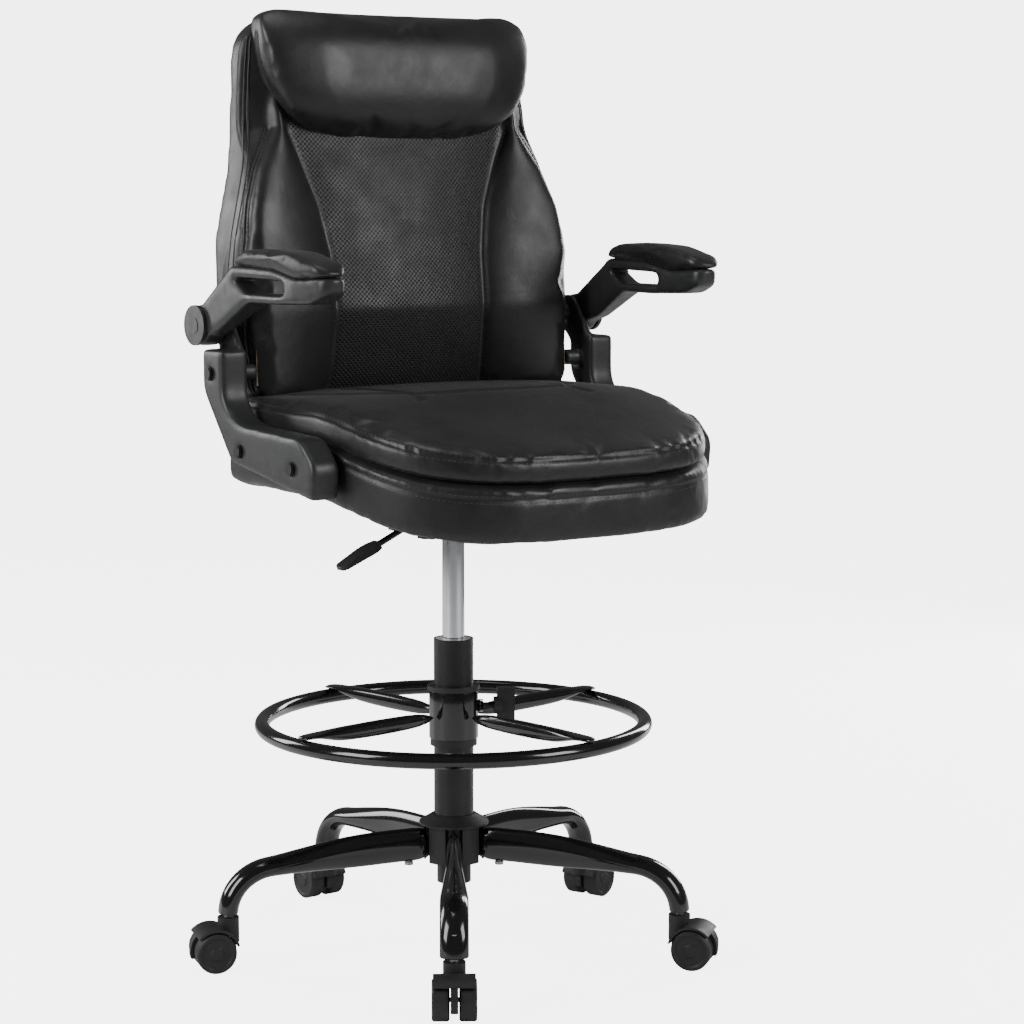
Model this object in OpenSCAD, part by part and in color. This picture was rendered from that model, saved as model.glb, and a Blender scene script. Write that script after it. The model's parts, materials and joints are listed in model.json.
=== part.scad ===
// Drafting chair: padded seat and back on a gas lift, with flip-up arms, a foot ring and a five-leg base.
// Millimetres. +Z is up, the front of the chair faces -Y, and the origin is on the floor under the column.

/* [Base] */
// Distance from the column's axis to each caster's stem
base_radius = 294; // [245:1:353]
// Turn of the base and its casters about the column, from the front of the chair
base_turn = -34.5; // [-36:0.5:36]
// Height of a leg's section where it meets the hub
leg_root_height = 43; // [34:1:48]
// Width of a leg's section where it meets the hub
leg_root_width = 19; // [17:1:26]
// Width of a leg's section at its outer end
leg_end_width = 35; // [28:1:40]
// Thickness of a leg's section at its outer end
leg_end_thickness = 25; // [22:1:29]
// Wall of a leg's tube
leg_wall = 2; // [1.5:0.5:3]

/* [Casters] */
// Diameter of each caster wheel
wheel_d = 50; // [40:1:60]
// Width of one caster wheel
wheel_width = 21; // [16:1:26]
// Offset from the caster's stem to its axle
caster_trail = 20; // [16:1:26]
// Diameter of the caster's stem
stem_d = 11; // [9:0.5:13]
// Diameter of the wheel axle
axle_d = 6; // [5:0.5:8]

/* [Column] */
// Outer diameter of the column tube
column_d = 50; // [42:1:60]
// Height of the column tube's top
column_top = 398; // [370:1:430]
// Diameter of the chromed gas cylinder
cylinder_d = 28; // [23:1:32]
// Diameter of the piston rod inside the gas cylinder
rod_d = 10; // [8:1:12]
// Travel of the seat down from the height shown
lift_down = 110; // [60:5:120]
// Travel of the seat up from the height shown
lift_up = 45; // [20:5:60]

/* [Foot ring] */
// Radius of the foot ring's centreline
ring_radius = 241; // [200:1:280]
// Diameter of the foot ring's tube
ring_tube_d = 19; // [16:1:25]
// Height of the foot ring's centreline
ring_height = 291; // [280:1:300]
// Length of the foot ring's collar
collar_length = 61; // [45:1:68]
// Turn of the foot ring's spokes about the column
ring_turn = 7.5; // [-45:0.5:45]

/* [Seat] */
// Width of the seat
seat_width = 504; // [420:1:600]
// Depth of the seat
seat_depth = 464; // [400:1:540]
// Height of the seat's underside
seat_bottom = 604; // [600:1:640]
// Drop of the seat's front edge
seat_drop = 48; // [30:1:60]
// Thickness of the lower seat cushion
base_cushion = 60; // [56:1:75]
// Thickness of the upper seat cushion at its edge
top_cushion = 36; // [30:1:48]
// Rise of the upper cushion from its edge to its middle
seat_crown = 13; // [6:1:20]

/* [Back] */
// Width of the backrest at its widest
back_width = 500; // [420:1:560]
// Width of the backrest at its top
back_top_width = 424; // [340:1:480]
// Height of the backrest's top above the floor
back_top = 1180; // [1050:1:1300]
// Thickness of the backrest at its side pads
back_thickness = 92; // [80:1:120]
// Lean of the backrest from the vertical
back_lean = 2.5; // [0:0.5:6]
// Height of the head pillow
pillow_height = 158; // [120:1:190]

/* [Arms] */
// Thickness of the arm brackets
bracket_width = 38; // [32:1:44]
// Height of the arm pivots above the floor
pivot_height = 795; // [780:1:830]
// Diameter of the arm's pivot boss
pivot_d = 50; // [42:1:56]
// Diameter of the arm's pivot pin
pivot_pin_d = 12; // [8:1:16]
// Width of the arm pad
pad_width = 52; // [44:1:60]
// Length of the arm pad
pad_length = 202; // [170:1:240]
// Diameter of the bolts that hold the brackets
bolt_d = 8; // [6:1:10]

/* [Hidden] */
$fn = 48;

// Clearances
run_gap = 0.05;   // radial gap of a shaft that turns or slides
slip_gap = 0.3;   // gap between faces that pass each other
eps = 0.01;       // overlap of a cut past a face

// Casters
wheel_r = wheel_d / 2;
web_half = 4.5;                                  // half thickness of the hood's middle web
wheel_in = web_half + 1;                         // inner face of a wheel
wheel_out = wheel_in + wheel_width;              // outer face of a wheel
hood_gap = 2;                                    // from the tread to the hood's shell
hood_wall = 3;
hood_r = wheel_r + hood_gap + hood_wall;
caster_top = wheel_d + hood_gap + hood_wall + 10; // top of the hood's stem boss
stem_boss_d = stem_d + 16;
stem_up = 30;                                    // length of stem inside the leg
axle_half = wheel_out - 4;                       // half length of the axle

// Legs: a centreline in a vertical plane, with an oval section that turns from tall to flat
leg_start = 31;                                  // where a leg begins, from the axis
leg_end_z = caster_top + 4;                      // height of the leg's end
leg_root_z = leg_end_z + 68;                     // height of the centreline at the hub
leg_run = base_radius - 60;                      // end of the long, nearly level stretch
leg_fall = 13;                                   // drop of that stretch
leg_bend_steps = 8;
leg_sides = 18;
leg_end_wall = 4;                                // thickness of a leg's closed end
leg_bend_z = leg_root_z - leg_fall - leg_end_z;  // height of the bend
leg_bend_r = base_radius - leg_run;              // reach of the bend
socket_d = stem_d + 9;
screw_d = 6;
screw_r = 60;                                    // leg screws, from the axis
spigot_end = 78;
spigot_w = leg_root_width - 2 * leg_wall - 7;
spigot_h = leg_root_height - 2 * leg_wall - 13;

// Hub and column
hub_r = leg_start - 1;
hub_low = leg_root_z - leg_root_height / 2 - 3;
hub_high = leg_root_z + leg_root_height / 2 + 1;
column_r = column_d / 2;
column_wall = 2;
column_foot_r = column_r - 3.5;                  // the tube tapers where it sits in the hub
column_low = hub_low - 27;
cover_r = max(38, column_r + 13);
cover_flange_r = cover_r + 6;
cover_low = hub_low + 1;
cover_wall = 2.5;
cover_top = hub_high + 14;

// Gas lift
cylinder_r = cylinder_d / 2;
cylinder_top = seat_bottom - 38;
cylinder_low = column_low + lift_down + 33;
cylinder_neck_r = cylinder_r - 1;
neck_length = 36;
guide_length = column_top - cylinder_low - lift_up - 26.5;
button_r = 4;
button_rise = 6;

// Tilt mechanism
housing_half = 45;                               // half width, along X
housing_front = -75;
housing_back = 80;
housing_low = seat_bottom - 74;
housing_high = seat_bottom - 36;
housing_wall = 2.5;
tilt_pin_y = -55;
tilt_pin_z = seat_bottom - 42;
tilt_pin_d = 10;
plate_thickness = 3;
plate_low = seat_bottom - plate_thickness;
plate_x = 100;
plate_front = -78;
plate_back = 100;
flange_gap = 1;
spring_y = 52;
spring_r = 13;
spring_wire = 4;
spring_turns = 5;
knob_r = 16;
knob_height = 10;

// Lever
lever_z = seat_bottom - 54;
lever_x = -housing_half;
lever_d = 8;
lever_bend_x = -56;
lever_slope = 24;
lever_reach = 66;                                // from the bend to the handle
handle_length = 64;
handle_width = 22;
handle_thickness = 11;
cradle_r = lever_d / 2 + 3;

// Seat
seat_front = -300;
seat_back = seat_front + seat_depth;
seat_half = seat_width / 2;
drop_start = seat_front + 240;                   // where the front begins to fall
cushion_gap = 0.4;
board_thickness = 12;
board_low = seat_bottom + 4;
board_half = seat_half - 8;
rail_width = 34;
rail_top = seat_bottom + base_cushion - 9;
seat_edge_top = seat_bottom + base_cushion + top_cushion;

// Back
back_bottom = seat_edge_top + 0.62 * seat_crown + 0.8;
back_front = 74;                                 // front of the side pads, at the bottom
back_rear = back_front + back_thickness;
back_half = back_width / 2;
back_top_half = back_top_width / 2;
channel_depth = 42;                              // the middle panel lies this far behind the side pads
channel_half = 130;
frame_thickness = 12;
frame_y = back_front + channel_depth + 18;
block_in = back_half - 44;
block_out = back_half - 16;
pillow_low = back_top - pillow_height;
pillow_front = back_front + 2;
pillow_back = back_front + channel_depth + 14;
pillow_half = back_top_half - 8;

// Arms
bracket_in = max(seat_half, back_half) + 7;
bracket_out = bracket_in + bracket_width;
pivot_y = 112;
pivot_r = pivot_d / 2;
pin_r = pivot_pin_d / 2;
tongue = 10;                                     // bracket's wall beside the pivot boss
arm_in = bracket_in + tongue + slip_gap;
arm_out = bracket_out + 1;
cap_thickness = 5;
pad_back = 34;
pad_front = pad_back - pad_length;
pad_mid = arm_out - pad_width / 2 + 4;           // centreline of the arm pad, from the middle of the chair
bolt_r = bolt_d / 2;
bolt_head_r = bolt_r + 4.5;
bolt_head = 4;
boss_r = bolt_r + 7;
seat_bolts = [[-102, seat_bottom + 34], [17, seat_bottom + 45]];
back_bolt = [back_front + 11, back_bottom + 29];
arm_bolts = concat(seat_bolts, [back_bolt]);

// Foot ring
ring_r = ring_tube_d / 2;
bush_r = column_r + 3;
collar_in = bush_r + run_gap;
collar_out = collar_in + 3;
collar_low = ring_height - 20;
collar_high = collar_low + collar_length;
bush_flange_r = bush_r + 5;
spoke_z = ring_height + 13;
spoke_sides = 16;
knob_z = ring_height + 20;
knob_stem_d = 8;
knob_angle = ring_turn + 52;

// How far the seat has fallen at y: level at first, steepest half way, then easing off at the front
function drop_share(t) = 0.75 * t * t * (3 - 2 * t) + 0.25 * t * t;
function drop_at(y) =
    y > drop_start ? 0 : seat_drop * drop_share((drop_start - y) / (drop_start - seat_front));

// Corner rounding: each corner [x, y, r] becomes an arc of radius r
function unit(v) = v / norm(v);
function corner_arc(a, b, c, r, steps) =
    let (u = unit(a - b), w = unit(c - b), half = acos(u * w) / 2, reach = r / tan(half),
         mid = b + unit(u + w) * (r / sin(half)), p = b + u * reach - mid, q = b + w * reach - mid,
         sweep = 180 - 2 * half, side = sign(p[0] * q[1] - p[1] * q[0]))
    [for (i = [0:steps]) let (t = side * sweep * i / steps)
        mid + [p[0] * cos(t) - p[1] * sin(t), p[0] * sin(t) + p[1] * cos(t)]];
function rounded(corners, steps = 6) =
    let (n = len(corners), xy = [for (k = corners) [k[0], k[1]]])
    [for (i = [0:n - 1])
        each corners[i][2] > 0
            ? corner_arc(xy[(i + n - 1) % n], xy[i], xy[(i + 1) % n], corners[i][2], steps)
            : [xy[i]]];

// A tube swept along rings of points that share one count
function ring_faces(rings, sides) = concat(
    [[for (j = [sides - 1:-1:0]) j]],
    [for (i = [0:rings - 2], j = [0:sides - 1])
        [i * sides + (j + 1) % sides, (i + 1) * sides + (j + 1) % sides, (i + 1) * sides + j, i * sides + j]],
    [[for (j = [0:sides - 1]) (rings - 1) * sides + j]]);
module sweep(rings) {
    sides = len(rings[0]);
    polyhedron([for (r = rings) each r], ring_faces(len(rings), sides), convexity = 6);
}
// An oval ring at [x, z], square to a path that heads down by angle, width along Y, height across
function oval(x, z, angle, width, height, sides) =
    [for (j = [0:sides - 1]) let (t = -360 * j / sides, w = width / 2 * cos(t), h = height / 2 * sin(t))
        [x + h * sin(angle), w, z + h * cos(angle)]];

// Side profiles are drawn in (y, z) and extruded across X; plans are drawn in (x, y)
module side_slab(x0, x1) {
    translate([x0, 0, 0]) rotate([90, 0, 90]) linear_extrude(x1 - x0) children();
}
module plan_slab(z0, z1) {
    translate([0, 0, z0]) linear_extrude(z1 - z0) children();
}
module front_slab(y0, y1) {
    translate([0, y1, 0]) rotate([90, 0, 0]) linear_extrude(y1 - y0) children();
}
module x_rod(r, x0, x1, y, z) {
    translate([x0, y, z]) rotate([0, 90, 0]) cylinder(r = r, h = x1 - x0);
}
module on_leg(i) {
    rotate([0, 0, base_turn - 90 + 72 * i]) children();
}
// The left side mirrors the right side, which lies towards -X
module on_side(left) {
    mirror([left ? 1 : 0, 0, 0]) children();
}

// ---- Base ----

function bend_at(t) = [leg_run + leg_bend_r * sin(t), leg_end_z + leg_bend_z * cos(t)];
function mix(a, b, t) = a + (b - a) * t;
// Rings along the leg, from the hub to its end; the inner surface is inset by the wall, and ends sooner
function leg_rings(inset, first, closed) = concat(
    [for (i = [0:5]) let (t = i / 6, x = mix(first, leg_run, t),
                          grow = max(0, (x - 0.45 * base_radius) / (leg_run - 0.45 * base_radius)))
        oval(x, leg_root_z - leg_fall * pow((x - leg_start) / (leg_run - leg_start), 2),
             atan(leg_fall / (leg_run - leg_start)) * t * 2,
             mix(leg_root_width, leg_end_width, grow) - 2 * inset,
             mix(leg_root_height, leg_end_thickness, grow) - 2 * inset, leg_sides)],
    [for (i = [0:leg_bend_steps]) let (t = 90 * i / leg_bend_steps, p = bend_at(t),
                                       tail = i == leg_bend_steps ? closed : 0,
                                       slope = atan2(leg_bend_z * sin(t), leg_bend_r * cos(t)))
        oval(p[0], p[1] + tail, max(6, slope), leg_end_width - 2 * inset, leg_end_thickness - 2 * inset,
             leg_sides)]);

module base_leg(i) {
    color("#0b0b0c") on_leg(i) difference() {
        union() {
            difference() {
                sweep(leg_rings(0, leg_start, 0));
                sweep(leg_rings(leg_wall, leg_start - 1, leg_end_wall));
            }
            // Socket tube for the caster's stem, welded inside the end
            translate([base_radius, 0, leg_end_z + 0.5]) cylinder(d = socket_d, h = stem_up + 3);
        }
        translate([base_radius, 0, leg_end_z - eps]) cylinder(r = stem_d / 2 + run_gap, h = stem_up + 1);
        translate([screw_r, 0, 0]) cylinder(d = screw_d, h = leg_root_z);
    }
}

module base_hub() {
    color("#141415") difference() {
        union() {
            translate([0, 0, hub_low]) cylinder(r = hub_r, h = hub_high - hub_low);
            for (i = [0:4]) on_leg(i) translate([hub_r - 4, -spigot_w / 2, leg_root_z - spigot_h / 2 - 1])
                cube([spigot_end - hub_r + 4, spigot_w, spigot_h]);
        }
        translate([0, 0, hub_low - eps])
            cylinder(r1 = column_foot_r, r2 = column_r, h = hub_high - hub_low + 2 * eps);
        for (i = [0:4]) on_leg(i) translate([screw_r, 0, 0]) cylinder(d = screw_d, h = leg_root_z + 6);
    }
}

module leg_screws() {
    head_top = leg_root_z - leg_root_height / 2 - 0.4;
    color("#2a2a2c") for (i = [0:4]) on_leg(i) translate([screw_r, 0, 0]) {
        translate([0, 0, head_top - 1]) cylinder(d = screw_d, h = leg_root_z + 5 - head_top);
        translate([0, 0, head_top - 4]) cylinder(d = screw_d + 5, h = 4);
    }
}

module hub_cover() {
    color("#1b1b1d") difference() {
        union() {
            translate([0, 0, cover_low]) cylinder(r = cover_r, h = hub_high + 2 - cover_low);
            translate([0, 0, hub_high + 1.5]) cylinder(r = cover_flange_r, h = 2.5);
            translate([0, 0, hub_high + 4])
                cylinder(r1 = cover_flange_r, r2 = column_r + cover_wall, h = cover_top - hub_high - 4);
        }
        translate([0, 0, cover_low - eps]) cylinder(r = cover_r - cover_wall, h = hub_high + 1 - cover_low);
        translate([0, 0, hub_high]) cylinder(r = column_r + slip_gap, h = 30);
        for (i = [0:4]) on_leg(i)
            translate([hub_r - 4, -leg_root_width / 2 - 1.2, cover_low - 1])
                cube([40, leg_root_width + 2.4, hub_high - cover_low + 1.2]);
    }
}

module column_tube() {
    taper = hub_high - hub_low;
    color("#101011") difference() {
        union() {
            translate([0, 0, hub_high]) cylinder(r = column_r, h = column_top - hub_high);
            translate([0, 0, hub_low]) cylinder(r1 = column_foot_r, r2 = column_r, h = taper);
            translate([0, 0, column_low]) cylinder(r = column_foot_r, h = hub_low - column_low);
        }
        translate([0, 0, column_low + 4])
            cylinder(r = column_foot_r - column_wall, h = hub_high - column_low);
        translate([0, 0, hub_high]) cylinder(r = column_r - column_wall, h = column_top);
        translate([0, 0, column_low - 1]) cylinder(r = rod_d / 2 + run_gap, h = 8);
    }
}

module column_bush() {
    color("#c8c8ca") difference() {
        translate([0, 0, column_top - guide_length])
            cylinder(r = column_r - column_wall, h = guide_length - 0.6);
        translate([0, 0, column_top - guide_length - 1])
            cylinder(r = cylinder_r + run_gap, h = guide_length + 2);
    }
}

// ---- Gas lift ----

module piston_rod() {
    color("#b9bbbe") {
        translate([0, 0, column_low - 5]) cylinder(d = rod_d, h = cylinder_top - 60 - lift_down - column_low);
        translate([0, 0, column_low - 4]) difference() {
            cylinder(d = rod_d + 8, h = 3);
            translate([0, 0, -1]) cylinder(d = rod_d, h = 5);
        }
    }
}

module rod_bearing() {
    color("#8f9194") translate([0, 0, column_low + 4.3]) difference() {
        cylinder(r = column_foot_r - column_wall - 2, h = 8);
        translate([0, 0, -1]) cylinder(d = rod_d, h = 10);
    }
}

module gas_cylinder() {
    body_top = cylinder_top - neck_length;
    color("#d6d8dc") difference() {
        union() {
            translate([0, 0, cylinder_low]) cylinder(r = cylinder_r, h = body_top - cylinder_low);
            translate([0, 0, body_top]) cylinder(r = cylinder_neck_r, h = neck_length);
        }
        translate([0, 0, cylinder_low - 1])
            cylinder(r = rod_d / 2 + run_gap, h = cylinder_top - neck_length - 12 - cylinder_low);
        translate([0, 0, cylinder_top - 20]) cylinder(r = button_r + run_gap, h = 21);
    }
}

module valve_button() {
    color("#5a5b5e") translate([0, 0, cylinder_top - 12]) cylinder(r = button_r, h = 12 + button_rise);
}

// ---- Tilt mechanism ----

module mech_housing() {
    color("#161617") difference() {
        union() {
            difference() {
                translate([-housing_half, housing_front, housing_low])
                    cube([2 * housing_half, housing_back - housing_front, housing_high - housing_low]);
                translate([-housing_half + housing_wall, housing_front + housing_wall,
                    housing_low + housing_wall])
                    cube([2 * (housing_half - housing_wall),
                        housing_back - housing_front - 2 * housing_wall, 60]);
            }
            translate([0, 0, housing_low]) cylinder(r = cylinder_neck_r + 6, h = neck_length - 2);
            for (s = [-1, 1]) translate([s * (housing_half - 6) - 5, tilt_pin_y - 10, housing_low + 1])
                cube([10, 20, housing_high - housing_low - 1]);
        }
        translate([0, 0, housing_low - 1]) cylinder(r = cylinder_neck_r, h = 60);
        x_rod(tilt_pin_d / 2, -80, 80, tilt_pin_y, tilt_pin_z);
        // Window for the lever, tall enough for its lift
        translate([-housing_half - 2, -cradle_r - 1, lever_z - cradle_r - 2])
            cube([housing_wall + 10, 2 * cradle_r + 2, housing_high]);
        translate([0, spring_y, housing_low - 1]) cylinder(r = knob_stem_d / 2 + run_gap, h = 8);
    }
}

module tilt_pin() {
    reach = housing_half + flange_gap + plate_thickness + 4;
    color("#8f9194") {
        x_rod(tilt_pin_d / 2, -reach, reach, tilt_pin_y, tilt_pin_z);
        for (s = [-1, 1]) x_rod(tilt_pin_d / 2 + 3, s * reach - 1.5, s * reach + 1.5, tilt_pin_y, tilt_pin_z);
    }
}

module seat_plate() {
    inner = housing_half + flange_gap;
    color("#161617") difference() {
        union() {
            translate([-plate_x, plate_front, plate_low])
                cube([2 * plate_x, plate_back - plate_front, plate_thickness]);
            for (s = [0, 1]) mirror([s, 0, 0]) side_slab(inner, inner + plate_thickness) polygon(rounded([
                [plate_front + 4, plate_low + 1, 0], [plate_front + 4, tilt_pin_z - 11, 8],
                [tilt_pin_y + 12, tilt_pin_z - 11, 8], [-20, plate_low - 6, 5], [60, plate_low - 6, 5],
                [60, plate_low + 1, 0]]));
        }
        x_rod(tilt_pin_d / 2 + run_gap, -80, 80, tilt_pin_y, tilt_pin_z);
        plate_bolt_places() translate([0, 0, plate_low - 20]) cylinder(r = bolt_r, h = 40);
    }
}
module plate_bolt_places() {
    for (x = [-1, 1], y = [plate_front + 14, plate_back - 14])
        translate([x * (plate_x - 18), y, 0]) children();
}

// Coil spring between the housing's floor and the seat plate
module tilt_spring() {
    low = housing_low + housing_wall + spring_wire / 2 + 0.1;
    high = plate_low - spring_wire / 2 - 0.1;
    steps = 14 * spring_turns;
    color("#6d6f73") sweep([for (i = [0:steps]) let (a = 360 * spring_turns * i / steps,
                                                    z = mix(low, high, i / steps))
        [for (j = [0:7]) let (t = 360 * j / 8, r = spring_r - spring_wire / 2 + spring_wire / 2 * cos(t))
            [r * cos(a), spring_y + r * sin(a), z + spring_wire / 2 * sin(t)]]]);
}

module tension_knob() {
    top = housing_low - 1;
    color("#1b1b1d") difference() {
        union() {
            translate([0, spring_y, top - knob_height]) cylinder(r = knob_r, h = knob_height);
            translate([0, spring_y, top - 1]) cylinder(r = knob_stem_d / 2, h = 12);
        }
        for (i = [0:7]) translate([0, spring_y, top - knob_height - 1]) rotate([0, 0, 45 * i])
            translate([knob_r + 1.5, 0, 0]) cylinder(r = 4, h = knob_height + 3, $fn = 24);
    }
}

// ---- Lever ----

module lever_cradle() {
    tip = 8;
    tongue_low = cylinder_top + button_rise + 0.2;
    side_y = 7;
    color("#39393c") difference() {
        union() {
            x_rod(cradle_r, lever_x - 6, lever_x + 16, 0, lever_z);
            // Tongue over the valve button
            front_slab(-side_y, side_y) polygon([
                [lever_x + 6, lever_z], [lever_x + 6, lever_z + cradle_r - 1],
                [lever_x + 18, tongue_low + 5], [tip, tongue_low + 5], [tip, tongue_low],
                [lever_x + 22, tongue_low], [lever_x + 16, lever_z + 3], [lever_x + 16, lever_z]]);
        }
        x_rod(lever_d / 2 + run_gap, lever_x - 20, lever_x + 40, 0, lever_z);
    }
}

module lever_rod() {
    color("#2a2a2c") {
        x_rod(lever_d / 2, lever_bend_x, lever_x + 14, 0, lever_z);
        translate([lever_bend_x, 0, lever_z]) sphere(d = lever_d);
        translate([lever_bend_x, 0, lever_z]) rotate([0, -90 - lever_slope, 0])
            cylinder(d = lever_d, h = lever_reach + 20);
    }
}

module lever_handle() {
    color("#151516") translate([lever_bend_x, 0, lever_z]) rotate([0, -lever_slope, 0])
        mirror([1, 0, 0]) difference() {
            intersection() {
                translate([lever_reach - 6, 0, -handle_thickness / 2]) linear_extrude(handle_thickness)
                    polygon(rounded([[0, -handle_width / 2 + 5, 3], [12, -handle_width / 2, 8],
                        [handle_length, -handle_width / 2, 9], [handle_length, handle_width / 2, 9],
                        [12, handle_width / 2, 8], [0, handle_width / 2 - 5, 3]]));
                translate([0, handle_width, 0]) rotate([90, 0, 0]) linear_extrude(2 * handle_width)
                    polygon(rounded([[lever_reach - 6, -5, 2], [lever_reach + handle_length - 6, -3, 2],
                        [lever_reach + handle_length - 6, 2, 2], [lever_reach + 20, handle_thickness / 2, 20],
                        [lever_reach - 6, 5, 2]]));
            }
            rotate([0, 90, 0]) cylinder(d = lever_d, h = lever_reach + 20);
        }
}

// ---- Seat ----

// Plan of the seat: a full, round front and smaller round corners at the back
function seat_outline(inset) =
    let (half = seat_half - inset, mid = seat_front + 240, reach = mid - seat_front - inset, power = 2 / 2.7)
    concat([for (i = [0:28]) let (t = 180 * i / 28)
                [-half * sign(cos(t)) * pow(abs(cos(t)), power), mid - reach * pow(sin(t), power)]],
           corner_arc([half, mid], [half, seat_back - inset], [-half, seat_back - inset], 80, 8),
           corner_arc([half, seat_back - inset], [-half, seat_back - inset], [-half, mid], 80, 8));
function seat_crown_at(y) = seat_crown * cos(90 * (y - (seat_front + seat_back) / 2) / (seat_depth / 2));
// A layer of the seat between two offsets from its underside, following the fall of the front
module seat_layer(low, high, crowned) {
    steps = 20;
    function y_at(i) = seat_front + seat_depth * i / steps;
    intersection() {
        side_slab(-seat_half, seat_half) polygon(concat(
            [for (i = [0:steps]) [y_at(i), seat_bottom + low - drop_at(y_at(i))]],
            [for (i = [steps:-1:0])
                [y_at(i), seat_bottom + high - drop_at(y_at(i)) + (crowned ? seat_crown_at(y_at(i)) : 0)]]));
        plan_slab(seat_bottom - seat_drop - 1, seat_edge_top + seat_crown + 1) polygon(seat_outline(0));
        if (crowned) front_slab(seat_front - 1, seat_back + 1) polygon(concat(
            [[seat_half + 1, seat_bottom - seat_drop], [-seat_half - 1, seat_bottom - seat_drop]],
            [for (i = [-8:8]) let (t = i / 8) [t * (seat_half + 1),
                seat_edge_top + seat_crown * (1 - t * t)]]));
    }
}

// The board and its side rails, also the pocket they fill in the cushion
module board_shape() {
    intersection() {
        translate([-board_half, seat_front + 85, board_low])
            cube([2 * board_half, seat_depth - 97, board_thickness]);
        plan_slab(board_low, board_low + board_thickness) polygon(seat_outline(8));
    }
    for (s = [0, 1]) mirror([s, 0, 0])
        translate([board_half - rail_width, -120, board_low])
            cube([rail_width, 180, rail_top - board_low]);
}
module seat_board() {
    color("#b08a5c") difference() {
        board_shape();
        for (b = seat_bolts) x_rod(bolt_r, -seat_half, seat_half, b[0], b[1]);
        plate_bolt_places() translate([0, 0, board_low - 1]) cylinder(r = bolt_r, h = 10);
    }
}

module seat_base_cushion() {
    color("#131314") difference() {
        seat_layer(0, base_cushion - cushion_gap, false);
        board_shape();
        for (s = [0, 1]) mirror([s, 0, 0]) {
            for (b = seat_bolts) x_rod(boss_r + slip_gap, board_half - 1, seat_half + 5, b[0], b[1]);
        }
        translate([-plate_x - 1, plate_front - 1, plate_low - 10])
            cube([2 * plate_x + 2, plate_back - plate_front + 2, 10 + plate_thickness]);
        plate_bolt_places() translate([0, 0, seat_bottom - 4]) cylinder(r = bolt_r, h = 12);
    }
}

module seat_top_cushion() {
    color("#131314") seat_layer(base_cushion, base_cushion + top_cushion, true);
}

// ---- Back ----

module leaned() {
    translate([0, back_front, back_bottom]) rotate([-back_lean, 0, 0])
        translate([0, -back_front, -back_bottom]) children();
}
module back_outline() {
    right = [[back_half - 12, back_bottom, 40], [back_half, back_bottom + 90, 120],
             [back_half - 2, back_bottom + 190, 200], [back_half - 26, mix(back_bottom, back_top, 0.58), 200],
             [back_top_half, back_top, 58]];
    polygon(rounded(concat(right, [for (i = [len(right) - 1:-1:0]) [-right[i][0], right[i][1],
        right[i][2]]])));
}
module back_section() {
    right = [[channel_half, back_front + channel_depth, 40], [back_half - 40, back_front, 30],
             [back_half, back_front + 3, 8], [back_half, back_rear - 30, 20], [back_half - 40,
                 back_rear, 30]];
    polygon(rounded(concat(right, [for (i = [len(right) - 1:-1:0]) [-right[i][0], right[i][1],
        right[i][2]]])));
}
module pillow_outline(grow) {
    right = [[pillow_half - 44 + grow, pillow_low + 8 - grow, 52], [pillow_half - 6 + grow,
        pillow_low + 75, 60],
             [pillow_half + grow, back_top - 2 + grow, 46]];
    polygon(rounded(concat([[0, pillow_low - grow, 0]], right,
        [for (i = [len(right) - 1:-1:0]) [-right[i][0], right[i][1], right[i][2]]])));
}

// The frame panel with its side blocks, also the pocket they fill in the cushion
module back_frame_shape() {
    front_slab(frame_y, frame_y + frame_thickness) polygon(rounded([
        [-block_out, back_bottom + 22, 20], [block_out, back_bottom + 22, 20],
        [back_half - 40, mix(back_bottom, back_top, 0.6), 100], [back_top_half - 20, back_top - 20, 40],
        [20 - back_top_half, back_top - 20, 40], [40 - back_half, mix(back_bottom, back_top, 0.6), 100]]));
    for (s = [0, 1]) mirror([s, 0, 0])
        translate([block_in, back_front + 5, back_bottom + 12])
            cube([block_out - block_in, frame_y - back_front - 5 + eps, pivot_height + 20 - back_bottom]);
}
module back_frame() {
    color("#b08a5c") difference() {
        leaned() back_frame_shape();
        x_rod(bolt_r, -back_half, back_half, back_bolt[0], back_bolt[1]);
        x_rod(pin_r, -back_half, back_half, pivot_y, pivot_height);
    }
}

module back_cushion() {
    color("#131314") difference() {
        leaned() difference() {
            intersection() {
                plan_slab(back_bottom - 1, back_top + 1) back_section();
                front_slab(back_front - 5, back_rear + 5) back_outline();
            }
            front_slab(back_front - 20, pillow_back + cushion_gap) {
                pillow_outline(1);
                translate([-back_half, back_top - 60]) square([back_width, 80]);
            }
            back_frame_shape();
        }
        for (s = [0, 1]) mirror([s, 0, 0]) {
            x_rod(boss_r + slip_gap, block_out - 1, back_half + 5, back_bolt[0], back_bolt[1]);
            x_rod(pin_r + 5 + slip_gap, block_out - 1, back_half + 5, pivot_y, pivot_height);
        }
    }
}

module headrest_cushion() {
    color("#131314") leaned() front_slab(pillow_front, pillow_back) pillow_outline(0);
}

// ---- Arms ----

// Side view of a bracket: a foot along the seat, an elbow, and an upright beside the back
function bracket_corners() = let (sb = seat_bottom, top = pivot_height - pivot_r - 3) [
    [105, top, 2], [105, sb + 113, 34], [40, sb + 30, 24], [-146, sb - 1, 5], [-150, sb + 40, 22],
    [-118, sb + 70, 34], [18, sb + 76, 70], [57, sb + 96, 40], [57, top, 2]];
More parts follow.
